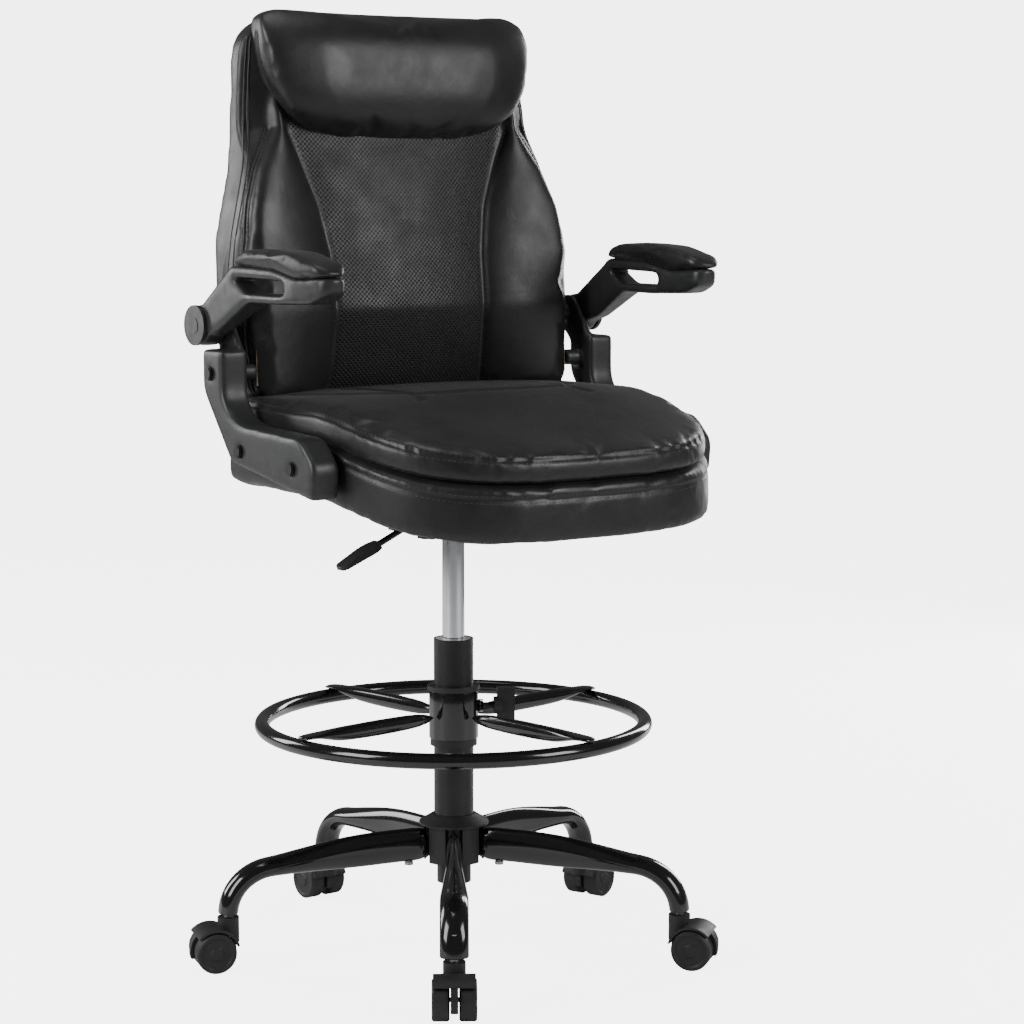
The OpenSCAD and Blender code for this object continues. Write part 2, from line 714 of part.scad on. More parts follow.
// The upright's inner wall carries on up to the pivot
module bracket_tongue() {
    tongue_low = pivot_height - pivot_r - 12;
    side_slab(bracket_in, bracket_in + tongue)
        polygon([[57, tongue_low], [105, tongue_low], [pivot_y + pivot_r * 0.97, pivot_height - 6],
                 [pivot_y - pivot_r * 0.8, pivot_height + 15]]);
    x_rod(pivot_r, bracket_in, bracket_in + tongue, pivot_y, pivot_height);
}
module arm_bracket(left) {
    color("#3a3b3d") on_side(!left) difference() {
        union() {
            side_slab(bracket_in, bracket_out) polygon(rounded(bracket_corners(), 5));
            bracket_tongue();
            for (b = seat_bolts) x_rod(boss_r, board_half, bracket_in + 1, b[0], b[1]);
            x_rod(boss_r, block_out, bracket_in + 1, back_bolt[0], back_bolt[1]);
            x_rod(pin_r + 5, block_out, bracket_in + 1, pivot_y, pivot_height);
        }
        for (b = arm_bolts) x_rod(bolt_r, board_half - 20, bracket_out + 1, b[0], b[1]);
        x_rod(pin_r, block_out - 10, bracket_out + 1, pivot_y, pivot_height);
    }
}

module frame_bolts() {
    color("#6d6f73") {
        for (s = [0, 1], b = arm_bolts) mirror([s, 0, 0]) {
            x_rod(bolt_r, bracket_in - 36, bracket_out, b[0], b[1]);
            x_rod(bolt_head_r, bracket_out, bracket_out + bolt_head - 1.5, b[0], b[1]);
            x_rod(bolt_head_r - 1.5, bracket_out, bracket_out + bolt_head, b[0], b[1]);
        }
        plate_bolt_places() {
            translate([0, 0, plate_low - 0.5]) cylinder(r = bolt_r, h = 12);
            translate([0, 0, plate_low - 4]) cylinder(r = bolt_head_r - 1.5, h = 4);
        }
    }
}

module arm_pivots() {
    color("#3a3b3d") for (s = [0, 1]) mirror([s, 0, 0]) {
        x_rod(pin_r, block_out - 10, arm_out + 1, pivot_y, pivot_height);
        x_rod(pivot_r - 0.5, arm_out + slip_gap, arm_out + cap_thickness, pivot_y, pivot_height);
        x_rod(pivot_r * 0.4, arm_out + cap_thickness - 1, arm_out + cap_thickness + 0.6, pivot_y,
            pivot_height);
    }
}

// Top edge of the armrest, from its back to its nose: the pad sits along it
function arm_ridge(end_r) = let (z = pivot_height) [
    [pad_back, z + 74, end_r], [-56, z + 72, 120], [-112, z + 62, 16], [pad_front, z + 65, 0]];
module armrest(left) {
    z = pivot_height;
    color("#3a3b3d") on_side(!left) difference() {
        union() {
            intersection() {
                side_slab(arm_in - 40, arm_out) polygon(rounded(concat(
                    [[pivot_y + 4, z + 18, 0]], arm_ridge(12),
                    [[pad_front + 2, z + 45, 14], [-136, z + 33, 30], [-70, z + 31, 0], [-4, z + 31, 34],
                     [64, z - 4, 4], [pivot_y - 16, z - 14, 0]]), 5));
                plan_slab(z - 40, z + 90) polygon(rounded([
                    [arm_out + 1, 140, 0], [arm_out + 1, -100, 40], [arm_out - 8, pad_front, 16],
                    [pad_mid - pad_width / 2 + 8, pad_front, 14], [pad_mid - pad_width / 2 + 1, -70, 60],
                    [arm_in, 48, 60], [arm_in, 140, 0]]));
            }
            x_rod(pivot_r, arm_in, arm_out, pivot_y, z);
        }
        x_rod(pin_r + run_gap, arm_in - 1, arm_out + 1, pivot_y, z);
        // Finger slot
        side_slab(arm_in - 50, arm_out + 10) polygon(rounded([
            [31, z + 60, 2], [-86, z + 58, 8], [-90, z + 42, 7], [0, z + 42, 24]]));
    }
}

module arm_pad(left) {
    z = pivot_height;
    color("#171718") on_side(!left) intersection() {
        side_slab(pad_mid - pad_width, pad_mid + pad_width) polygon(rounded(concat(
            arm_ridge(0),
            [[pad_front, z + 70, 3], [pad_front + 14, z + 80, 24], [-100, z + 92, 60],
             [0, z + 93, 60], [pad_back - 8, z + 86, 10]]), 5));
        plan_slab(z + 50, z + 100) polygon(rounded([
            [pad_mid + pad_width / 2 - 8, pad_back + 1, 10], [pad_mid + pad_width / 2, -40, 60],
            [pad_mid + pad_width / 2 - 4, pad_front, 20], [pad_mid - pad_width / 2 + 4, pad_front, 20],
            [pad_mid - pad_width / 2, -40, 60], [pad_mid - pad_width / 2 + 14, pad_back + 1, 10]]));
    }
}

// ---- Foot ring ----

module ring_bush() {
    color("#1b1b1d") difference() {
        union() {
            translate([0, 0, collar_low - 8]) cylinder(r = bush_r, h = collar_length + 14);
            translate([0, 0, collar_high + slip_gap]) cylinder(r = bush_flange_r, h = 6);
            translate([0, 0, collar_low - 9]) cylinder(r = bush_r + 1.5, h = 9 - slip_gap);
        }
        translate([0, 0, collar_low - 20]) cylinder(r = column_r + run_gap, h = collar_length + 60);
    }
}

module foot_ring() {
    color("#0b0b0c") translate([0, 0, ring_height]) rotate_extrude($fn = 96)
        translate([ring_radius, 0]) circle(r = ring_r, $fn = 24);
}

module foot_ring_spider() {
    tip = ring_radius + ring_r - 3;
    flat_from = ring_radius - 40;
    color("#0b0b0c") difference() {
        union() {
            translate([0, 0, collar_low]) cylinder(r = collar_out, h = collar_length);
            // Threaded boss for the clamp knob
            rotate([0, 0, knob_angle - 90]) x_rod(knob_stem_d / 2 + 4, bush_r + 1, collar_out + 6, 0, knob_z);
            for (i = [0:3]) rotate([0, 0, ring_turn - 90 + 90 * i]) sweep([
                for (k = [[collar_out - 2, 0, 15, 21], [flat_from - 30, 0, 16, 20], [flat_from, 1, 20, 14],
                          [ring_radius - 20, 2, 26, 6], [tip - 6, 1.8, 24, 5], [tip, 1, 12, 4]])
                    oval(k[0], spoke_z + k[1] - 4 + (k[0] > flat_from ? 2 : 0), 0, k[2], k[3], spoke_sides)]);
        }
        translate([0, 0, collar_low - 1]) cylinder(r = collar_in, h = collar_length + 2);
        rotate([0, 0, knob_angle - 90])
            x_rod(knob_stem_d / 2 + run_gap, bush_r - 5, collar_out + 10, 0, knob_z);
    }
}

module ring_knob() {
    color("#1b1b1d") rotate([0, 0, knob_angle - 90]) {
        x_rod(knob_stem_d / 2, bush_r + slip_gap, collar_out + 24, 0, knob_z);
        translate([collar_out + 20, 0, knob_z]) {
            rotate([0, 90, 0]) cylinder(r = 11, h = 10);
            translate([4, -6, -23]) cube([22, 12, 46]);
        }
    }
}

// ---- Casters: each trails outwards from its stem ----

module on_caster(i) {
    on_leg(i) translate([base_radius, 0, 0]) children();
}
module caster_hood(i) {
    side = wheel_out - 1.5;
    color("#1e1e20") on_caster(i) difference() {
        union() {
            // Shell over the wheels, open below
            intersection() {
                translate([caster_trail, side, wheel_r]) rotate([90, 0, 0]) difference() {
                    cylinder(r = hood_r, h = 2 * side);
                    translate([0, 0, -1]) cylinder(r = hood_r - hood_wall, h = 2 * side + 2);
                }
                translate([caster_trail - 60, -side - 1, 0]) rotate([0, -14, 0])
                    translate([0, 0, wheel_r * 0.95])
                    cube([120, 2 * side + 2, 80]);
            }
            // Web between the wheels
            intersection() {
                translate([caster_trail, web_half, wheel_r]) rotate([90, 0, 0])
                    cylinder(r = hood_r - 1, h = 2 * web_half);
                translate([caster_trail - 60, -20, wheel_r - 9]) cube([120, 40, 80]);
            }
            translate([0, 0, wheel_r + 8]) cylinder(d = stem_boss_d, h = caster_top - wheel_r - 8);
        }
        // Room for the wheels under the stem boss
        for (s = [0, 1]) mirror([0, s, 0]) translate([caster_trail, web_half, wheel_r]) rotate([-90, 0, 0])
            cylinder(r = hood_r - hood_wall, h = 40);
        translate([0, 0, wheel_r]) cylinder(d = stem_d, h = 60);
        translate([caster_trail, 40, wheel_r]) rotate([90, 0, 0]) cylinder(d = axle_d, h = 80);
    }
}
module caster_pins(i) {
    color("#b9bbbe") on_caster(i) {
        translate([0, 0, wheel_r + 8]) cylinder(d = stem_d, h = leg_end_z + stem_up - 1 - wheel_r - 8);
        translate([caster_trail, axle_half, wheel_r]) rotate([90, 0, 0])
            cylinder(d = axle_d, h = 2 * axle_half);
    }
}
module wheel(i, side) {
    tread_edge = 2;
    color("#19191b") on_caster(i) translate([caster_trail, 0, wheel_r]) mirror([0, side, 0])
        rotate([-90, 0, 0])
        rotate_extrude() difference() {
            polygon([[0, wheel_in], [wheel_r - tread_edge, wheel_in], [wheel_r, wheel_in + tread_edge],
                     [wheel_r, wheel_out - tread_edge], [wheel_r - tread_edge, wheel_out],
                     [wheel_r - 5, wheel_out], [wheel_r - 7, wheel_out - 1.5], [9, wheel_out - 1.5],
                     [7, wheel_out], [0, wheel_out]]);
            translate([-1, wheel_in - 1]) square([axle_d / 2 + run_gap + 1, axle_half + 1.2 - wheel_in + 1]);
        }
}

base_hub();
hub_cover();
base_leg(0);  // base_leg_1
base_leg(1);  // base_leg_2
base_leg(2);  // base_leg_3
base_leg(3);  // base_leg_4
base_leg(4);  // base_leg_5
leg_screws();
column_tube();
column_bush();
piston_rod();
rod_bearing();
gas_cylinder();
mech_housing();
tilt_pin();
valve_button();
lever_cradle();
lever_rod();
lever_handle();
tension_knob();
tilt_spring();
seat_plate();
seat_board();
seat_base_cushion();
seat_top_cushion();
back_frame();
back_cushion();
headrest_cushion();
arm_bracket(false);  // arm_bracket_right
arm_bracket(true);  // arm_bracket_left
frame_bolts();
arm_pivots();
armrest(false);  // armrest_right
arm_pad(false);  // arm_pad_right
armrest(true);  // armrest_left
arm_pad(true);  // arm_pad_left
ring_bush();
foot_ring();
foot_ring_spider();
ring_knob();
caster_hood(0);  // caster_hood_1
caster_hood(1);  // caster_hood_2
caster_hood(2);  // caster_hood_3
caster_hood(3);  // caster_hood_4
caster_hood(4);  // caster_hood_5
caster_pins(0);  // caster_pins_1
caster_pins(1);  // caster_pins_2
caster_pins(2);  // caster_pins_3
caster_pins(3);  // caster_pins_4
caster_pins(4);  // caster_pins_5
wheel(0, 0);  // wheel_1a
wheel(0, 1);  // wheel_1b
wheel(1, 0);  // wheel_2a
wheel(1, 1);  // wheel_2b
wheel(2, 0);  // wheel_3a
wheel(2, 1);  // wheel_3b
wheel(3, 0);  // wheel_4a
wheel(3, 1);  // wheel_4b
wheel(4, 0);  // wheel_5a
wheel(4, 1);  // wheel_5b
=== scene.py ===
"""Drafting chair: leather cushions over a gas lift, a glossy star base, a foot ring and flip-up arms."""
import json
import math

import bmesh
import bpy
import numpy as np
from mathutils import Matrix, Vector, kdtree
from mathutils.bvhtree import BVHTree


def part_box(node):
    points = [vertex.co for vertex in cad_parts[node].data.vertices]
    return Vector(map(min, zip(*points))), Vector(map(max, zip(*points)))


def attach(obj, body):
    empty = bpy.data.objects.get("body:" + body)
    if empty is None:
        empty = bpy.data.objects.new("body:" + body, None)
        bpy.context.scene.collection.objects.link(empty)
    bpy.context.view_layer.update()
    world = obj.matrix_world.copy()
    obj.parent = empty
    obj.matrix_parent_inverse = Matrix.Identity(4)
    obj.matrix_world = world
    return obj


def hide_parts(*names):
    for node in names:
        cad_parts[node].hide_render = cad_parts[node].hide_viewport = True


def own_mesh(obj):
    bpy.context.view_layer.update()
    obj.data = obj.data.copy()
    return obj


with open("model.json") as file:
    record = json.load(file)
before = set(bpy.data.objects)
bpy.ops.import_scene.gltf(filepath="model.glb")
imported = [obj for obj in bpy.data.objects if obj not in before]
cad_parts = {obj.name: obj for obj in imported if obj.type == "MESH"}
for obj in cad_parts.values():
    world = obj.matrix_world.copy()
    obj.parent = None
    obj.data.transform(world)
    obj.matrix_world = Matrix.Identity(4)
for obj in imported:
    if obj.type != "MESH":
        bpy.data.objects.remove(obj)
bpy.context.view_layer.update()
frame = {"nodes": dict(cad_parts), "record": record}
nodes = frame["nodes"]
MM = 0.001


# ---- Camera, light and floor ----

WORLD_LIGHT = 0.10
BACKDROP = 5.0


def make_camera():
    data = bpy.data.cameras.new("camera")
    data.lens = 96.19
    data.sensor_width = 36
    camera = bpy.data.objects.new("camera", data)
    camera.location = (-1.9258, -2.8013, 0.9687)
    look = Vector((0.5800, 0.8057, -0.1202))
    camera.rotation_euler = look.to_track_quat("-Z", "Y").to_euler()
    bpy.context.scene.collection.objects.link(camera)
    bpy.context.scene.camera = camera


def area_light(name, place, aim, width, height, power):
    data = bpy.data.lights.new(name, "AREA")
    data.shape = "RECTANGLE"
    data.size = width
    data.size_y = height
    data.energy = power
    light = bpy.data.objects.new(name, data)
    light.location = place
    light.rotation_euler = (Vector(aim) - Vector(place)).to_track_quat("-Z", "Y").to_euler()
    bpy.context.scene.collection.objects.link(light)


def make_lights():
    world = bpy.data.worlds.new("studio")
    world.use_nodes = True
    tree = world.node_tree
    soft = tree.nodes["Background"]
    soft.inputs["Color"].default_value = (1, 1, 1, 1)
    soft.inputs["Strength"].default_value = WORLD_LIGHT
    sweep = tree.nodes.new("ShaderNodeBackground")
    sweep.inputs["Color"].default_value = (1, 1, 1, 1)
    sweep.inputs["Strength"].default_value = BACKDROP
    seen = tree.nodes.new("ShaderNodeLightPath")
    either = tree.nodes.new("ShaderNodeMixShader")
    tree.links.new(seen.outputs["Is Camera Ray"], either.inputs[0])
    tree.links.new(soft.outputs[0], either.inputs[1])
    tree.links.new(sweep.outputs[0], either.inputs[2])
    tree.links.new(either.outputs[0], tree.nodes["World Output"].inputs["Surface"])
    bpy.context.scene.world = world
    area_light("key", (-2.9, 0.2, 1.9), (0, 0, 0.8), 1.3, 1.9, 64)
    area_light("fill", (1.5, -2.8, 1.9), (0, 0, 0.8), 1.3, 1.7, 50)
    area_light("side", (-1.7, 2.8, 1.5), (0, 0, 0.8), 0.9, 1.7, 40)
    area_light("top", (-0.2, 0.0, 3.2), (0, 0, 0.6), 1.2, 1.2, 12)
    area_light("rim", (2.6, 0.9, 1.2), (0, 0, 0.8), 0.5, 1.8, 30)


# ---- Materials ----

class Finish:
    """A procedural material on a Principled shader, built up one layer at a time."""

    def __init__(self, name, colour, roughness, metallic=0.0, **sockets):
        self.material = bpy.data.materials.new(name)
        self.material.use_nodes = True
        self.tree = self.material.node_tree
        self.shader = self.tree.nodes["Principled BSDF"]
        self.shader.inputs["Base Color"].default_value = (*colour, 1)
        self.shader.inputs["Roughness"].default_value = roughness
        self.shader.inputs["Metallic"].default_value = metallic
        for label, value in sockets.items():
            self.shader.inputs[label.replace("_", " ")].default_value = value
        self.place = self.node("ShaderNodeTexCoord").outputs["Object"]

    def node(self, kind, settings=(), **inputs):
        made = self.tree.nodes.new(kind)
        for label, value in dict(settings).items():
            setattr(made, label, value)
        for label, value in inputs.items():
            key = int(label[1:]) if label[0] == "i" and label[1:].isdigit() else label.replace("_", " ")
            if isinstance(value, bpy.types.NodeSocket):
                self.tree.links.new(value, made.inputs[key])
            else:
                made.inputs[key].default_value = value
        return made

    def maths(self, operation, a, b=0.0):
        return self.node("ShaderNodeMath", {"operation": operation}, i0=a, i1=b).outputs[0]

    def noise(self, scale, detail=3.0):
        return self.node("ShaderNodeTexNoise", Vector=self.place, Scale=scale, Detail=detail).outputs[0]

    def between(self, value, low, high):
        return self.node("ShaderNodeMapRange", Value=value, From_Min=0.3, From_Max=0.7,
                         To_Min=low, To_Max=high).outputs[0]

    def vary_roughness(self, scale, low, high):
        self.tree.links.new(self.between(self.noise(scale), low, high), self.shader.inputs["Roughness"])

    def vary_colour(self, scale, first, second, factor=None):
        ramp = self.node("ShaderNodeMix", {"data_type": "RGBA"},
                         i0=self.between(self.noise(scale, 4), 0, 1) if factor is None else factor)
        ramp.inputs[6].default_value = (*first, 1)
        ramp.inputs[7].default_value = (*second, 1)
        self.tree.links.new(ramp.outputs[2], self.shader.inputs["Base Color"])

    def bump(self, height, strength, distance):
        under = self.shader.inputs["Normal"].links
        made = self.node("ShaderNodeBump", Height=height, Strength=strength, Distance=distance)
        if under:
            self.tree.links.new(under[0].from_socket, made.inputs["Normal"])
        self.tree.links.new(made.outputs[0], self.shader.inputs["Normal"])


def leather(name, holes_on=None):
    """Black leather with a pebbled grain. holes_on gives the two axes of a perforated panel."""
    made = Finish(name, (0.018, 0.018, 0.019), 0.4, Specular_IOR_Level=0.5, Sheen_Weight=0.06,
                  Sheen_Roughness=0.4)
    made.vary_roughness(28, 0.33, 0.46)
    made.vary_colour(9, (0.013, 0.013, 0.014), (0.024, 0.023, 0.023))
    pebbles = made.node("ShaderNodeTexVoronoi", {"feature": "DISTANCE_TO_EDGE"},
                        Vector=made.place, Scale=620.0).outputs["Distance"]
    made.bump(pebbles, 0.22, 0.0004)
    made.bump(made.noise(55, 5), 0.12, 0.003)
    if holes_on:
        add_holes(made, holes_on)
    return made.material


HOLE_PITCH = 6.0 * MM
HOLE_RADIUS = 0.19


def add_holes(made, axes):
    split = made.node("ShaderNodeSeparateXYZ", Vector=made.place)
    nearest = None
    for shift in (0.0, 0.5):
        squares = None
        for axis in axes:
            along = made.maths("ADD", made.maths("DIVIDE", split.outputs[axis], HOLE_PITCH), shift)
            off = made.maths("SUBTRACT", made.maths("FRACT", along), 0.5)
            square = made.maths("MULTIPLY", off, off)
            squares = square if squares is None else made.maths("ADD", squares, square)
        nearest = squares if nearest is None else made.maths("MINIMUM", nearest, squares)
    hole = made.node("ShaderNodeMapRange", {"interpolation_type": "SMOOTHSTEP"}, Value=nearest, From_Min=0.0,
                     From_Max=2.2 * HOLE_RADIUS * HOLE_RADIUS, To_Min=1.0, To_Max=0.0).outputs[0]
    panel = made.node("ShaderNodeAttribute", {"attribute_name": "perforated"}).outputs["Fac"]
    hole = made.maths("MULTIPLY", hole, made.maths("GREATER_THAN", panel, 0.5))
    made.bump(made.maths("SUBTRACT", 1.0, hole), 0.8, 0.0012)
    # The holes' colour is mixed towards near-black (0.002). This is painted shade inside each hole, because
    # the holes are bump only.
    colour = made.shader.inputs["Base Color"].links[0].from_socket
    hole_shade = made.node("ShaderNodeMix", {"data_type": "RGBA"}, i0=hole)
    made.tree.links.new(colour, hole_shade.inputs[6])
    hole_shade.inputs[7].default_value = (0.002, 0.002, 0.002, 1)
    made.tree.links.new(hole_shade.outputs[2], made.shader.inputs["Base Color"])


def gloss_paint():
    made = Finish("gloss_black_paint", (0.006, 0.006, 0.007), 0.14, Coat_Weight=0.7, Coat_Roughness=0.05)
    made.vary_roughness(40, 0.11, 0.18)
    made.vary_colour(6, (0.005, 0.005, 0.006), (0.009, 0.009, 0.010))
    made.bump(made.noise(220, 2), 0.03, 0.0005)
    return made.material


def satin_paint():
    made = Finish("satin_black_paint", (0.012, 0.012, 0.013), 0.36)
    made.vary_roughness(60, 0.3, 0.42)
    made.vary_colour(12, (0.009, 0.009, 0.010), (0.016, 0.016, 0.017))
    made.bump(made.noise(900, 2), 0.12, 0.0003)
    return made.material


def moulded(name, first, second, rough, grain, depth):
    made = Finish(name, first, rough)
    made.vary_roughness(90, rough - 0.05, rough + 0.07)
    made.vary_colour(14, first, second)
    made.bump(made.noise(grain, 3), 0.25, depth)
    return made.material


def metal(name, colour, low, high, scratches):
    made = Finish(name, colour, low, metallic=1.0)
    made.vary_roughness(scratches, low, high)
    made.vary_colour(20, colour, tuple(0.9 * c for c in colour))
    made.bump(made.noise(scratches * 4, 2), 0.05, 0.0002)
    return made.material


def ply():
    made = Finish("plywood", (0.5, 0.36, 0.2), 0.65)
    made.vary_colour(30, (0.45, 0.32, 0.18), (0.58, 0.43, 0.26))
    made.bump(made.noise(300, 3), 0.3, 0.0004)
    return made.material


def thread():
    made = Finish("black_thread", (0.03, 0.03, 0.032), 0.55, Sheen_Weight=0.3)
    made.vary_colour(400, (0.022, 0.022, 0.024), (0.045, 0.045, 0.048))
    made.bump(made.noise(2500, 2), 0.4, 0.0003)
    return made.material


LEATHER = leather("black_leather")
BACK_LEATHER = leather("perforated_back_leather", (0, 2))
SEAT_LEATHER = leather("perforated_seat_leather", (0, 1))
THREAD = thread()
FINISHES = {
    "gloss_black_steel": gloss_paint(),
    "satin_black_steel": satin_paint(),
    "chrome": metal("polished_chrome", (0.86, 0.87, 0.89), 0.04, 0.1, 60),
    "plated_steel": metal("plated_steel", (0.45, 0.46, 0.48), 0.25, 0.4, 180),
    "black_plastic": moulded("black_moulding", (0.016, 0.016, 0.017), (0.024, 0.024, 0.025), 0.5,
                             1100, 0.0003),
    "grey_plastic": moulded("satin_grey_moulding", (0.026, 0.027, 0.028), (0.036, 0.036, 0.038), 0.38,
                            1400, 0.0002),
    "pale_plastic": moulded("pale_moulding", (0.5, 0.5, 0.51), (0.56, 0.56, 0.57), 0.45, 900, 0.0002),
    "black_leather": LEATHER,
    "plywood": ply(),
}


def dress_frame():
    """Every CAD node takes the finish of its material slot."""
    for row in frame["record"]["subparts"]:
        mesh = nodes[row["node"]].data
        mesh.materials.clear()
        mesh.materials.append(FINISHES[row["material_slot"]])


# ---- Making meshes ----

def object_from(name, bm, finish=None):
    bmesh.ops.recalc_face_normals(bm, faces=bm.faces)
    mesh = bpy.data.meshes.new(name)
    bm.to_mesh(mesh)
    bm.free()
    made = bpy.data.objects.new(name, mesh)
    bpy.context.scene.collection.objects.link(made)
    if finish:
        mesh.materials.append(finish)
    for face in mesh.polygons:
        face.use_smooth = True
    return made


def settle(piece):
    """Applies the piece's modifiers."""
    bpy.context.view_layer.update()
    shaped = bpy.data.meshes.new_from_object(piece.evaluated_get(bpy.context.evaluated_depsgraph_get()))
    piece.modifiers.clear()
    old = piece.data
    piece.data = shaped
    bpy.data.meshes.remove(old)
    for face in piece.data.polygons:
        face.use_smooth = True


def subdivide(piece, levels):
    modifier = piece.modifiers.new("smooth", "SUBSURF")
    modifier.levels = modifier.render_levels = levels


def remesh(piece, voxel):
    modifier = piece.modifiers.new("remesh", "REMESH")
    modifier.mode = "VOXEL"
    modifier.voxel_size = voxel
    settle(piece)


def relax(piece, rounds):
    bm = bmesh.new()
    bm.from_mesh(piece.data)
    for _ in range(rounds):
        bmesh.ops.smooth_vert(bm, verts=bm.verts, factor=0.5,
                              use_axis_x=True, use_axis_y=True, use_axis_z=True)
    bm.to_mesh(piece.data)
    bm.free()


def points_of(piece):
    co = np.zeros(len(piece.data.vertices) * 3)
    piece.data.vertices.foreach_get("co", co)
    return co.reshape(-1, 3)


def set_points(piece, co):
    piece.data.vertices.foreach_set("co", co.astype(np.float32).ravel())
    piece.data.update()


CLOTH_FRAMES = 20


def inflate(piece, pressure, cap):
    """Swells a cushion as a cloth bag under pressure; no point moves further than cap."""
    before = points_of(piece)
    scene = bpy.context.scene
    cloth = piece.modifiers.new("cloth", "CLOTH")
    cloth.settings.use_pressure = True
    cloth.settings.uniform_pressure_force = pressure
    cloth.settings.effector_weights.gravity = 0
    cloth.point_cache.frame_start = 1
    cloth.point_cache.frame_end = CLOTH_FRAMES
    for number in range(1, CLOTH_FRAMES + 1):
        scene.frame_set(number)
    settle(piece)
    move = points_of(piece) - before
    reach = np.linalg.norm(move, axis=1, keepdims=True)
    set_points(piece, before + move * np.minimum(1, cap / np.maximum(reach, 1e-9)))
    scene.frame_set(1)


def slab(name, outline, low, high, axis, round_corners=None):
    """A flat outline pushed through along one axis. round_corners are (index, radius) pairs."""
    bm = bmesh.new()
    place = {"Z": lambda a, b: (a, b, low), "Y": lambda a, b: (a, low, b)}[axis]
    verts = [bm.verts.new(place(a, b)) for a, b in outline]
    bm.faces.new(verts)
    for index, radius in round_corners or ():
        bmesh.ops.bevel(bm, geom=[verts[index]], affect="VERTICES", offset=radius, offset_type="OFFSET",
                        segments=8, profile=0.5, material=-1)
    grown = bmesh.ops.extrude_face_region(bm, geom=list(bm.faces))
    push = Vector((0, 0, high - low)) if axis == "Z" else Vector((0, high - low, 0))
    bmesh.ops.translate(bm, vec=push, verts=[v for v in grown["geom"] if isinstance(v, bmesh.types.BMVert)])
    return object_from(name, bm)


def softened(node, voxel, rounds, name, finish):
    """The CAD node's own shape with its edges rounded off."""
    bm = bmesh.new()
    bm.from_mesh(nodes[node].data)
    bmesh.ops.remove_doubles(bm, verts=bm.verts, dist=1e-5)
    piece = object_from(name, bm)
    remesh(piece, voxel)
    relax(piece, rounds)
    piece.data.materials.clear()
    piece.data.materials.append(finish)
    return piece


def swept(stations, sides, bm):
    """A closed tube through stations of (matrix, half width, half height)."""
    def place(station):
        matrix, width, height = station
        return matrix @ Matrix.Diagonal((width, height, 1, 1))
    first = bmesh.ops.create_circle(bm, segments=sides, radius=1, cap_ends=True, matrix=place(stations[0]))
    ring = [e for e in bm.edges if all(v in first["verts"] for v in e.verts)]
    for before, after in zip(stations, stations[1:]):
        grown = bmesh.ops.extrude_edge_only(bm, edges=ring)["geom"]
        verts = [g for g in grown if isinstance(g, bmesh.types.BMVert)]
        ring = [g for g in grown if isinstance(g, bmesh.types.BMEdge) and all(v in verts for v in g.verts)]
        bmesh.ops.transform(bm, matrix=place(after) @ place(before).inverted(), verts=verts)
    bmesh.ops.holes_fill(bm, edges=ring, sides=0)


def tube(name, points, radius, finish):
    curve = bpy.data.curves.new(name, "CURVE")
    curve.dimensions = "3D"
    curve.bevel_depth = radius
    curve.bevel_resolution = 3
    curve.use_fill_caps = True
    line = curve.splines.new("POLY")
    line.points.add(len(points) - 1)
    for spot, point in zip(line.points, points):
        spot.co = (*point, 1)
    drawn = bpy.data.objects.new(name + "_line", curve)
    bpy.context.scene.collection.objects.link(drawn)
    bpy.context.view_layer.update()
    mesh = bpy.data.meshes.new_from_object(drawn)
    bpy.data.objects.remove(drawn)
    bpy.data.curves.remove(curve)
    mesh.name = name
    mesh.materials.clear()
    mesh.materials.append(finish)
    for face in mesh.polygons:
        face.use_smooth = True
    made = bpy.data.objects.new(name, mesh)
    bpy.context.scene.collection.objects.link(made)
    return made


# ---- Seams ----

def spaced(points, step):
    """The same line with points at an even distance."""
    line = np.array([tuple(p) for p in points])
    run = np.concatenate([[0], np.cumsum(np.linalg.norm(np.diff(line, axis=0), axis=1))])
    count = max(2, int(round(run[-1] / step)))
    at = np.linspace(0, run[-1], count + 1)
    return [Vector([np.interp(t, run, line[:, axis]) for axis in range(3)]) for t in at]


def surface_of(piece):
    bm = bmesh.new()
    bm.from_mesh(piece.data)
    tree = BVHTree.FromBMesh(bm)
    bm.free()
    return tree


def laid_on(piece, points, along=None):
    """Each point moved on to the piece's surface, with the normal there; along is the way to push it."""
    tree = surface_of(piece)
    laid = []
    for point in points:
        found = tree.ray_cast(point - along * 0.2, along) if along else (None, None)
        laid.append(found[:2] if found[0] else tree.find_nearest(point)[:2])
    return laid


def evened(points, rounds=3):
    """The same line with its small wobbles taken out."""
    line = np.array([tuple(p) for p in points])
    for _ in range(rounds):
        line[1:-1] = (line[:-2] + 2 * line[1:-1] + line[2:]) / 4
    return [Vector(p) for p in line]


def draw_in(piece, lines, depth, width):
    """Pulls the surface in along sewn lines."""
    spots = [p for line in lines for p in line]
    tree = kdtree.KDTree(len(spots))
    for index, spot in enumerate(spots):
        tree.insert(spot, index)
    tree.balance()
    co = points_of(piece)
    normals = np.zeros(len(co) * 3)
    piece.data.vertices.foreach_get("normal", normals)
    away = np.array([tree.find(p)[2] for p in co])
    pull = depth * np.exp(-(away / width) ** 2)
    set_points(piece, co - normals.reshape(-1, 3) * pull[:, None])


STITCH_GAP = 6.0 * MM
STITCH_LENGTH = 4.0 * MM
STITCH_RADIUS = 0.45 * MM


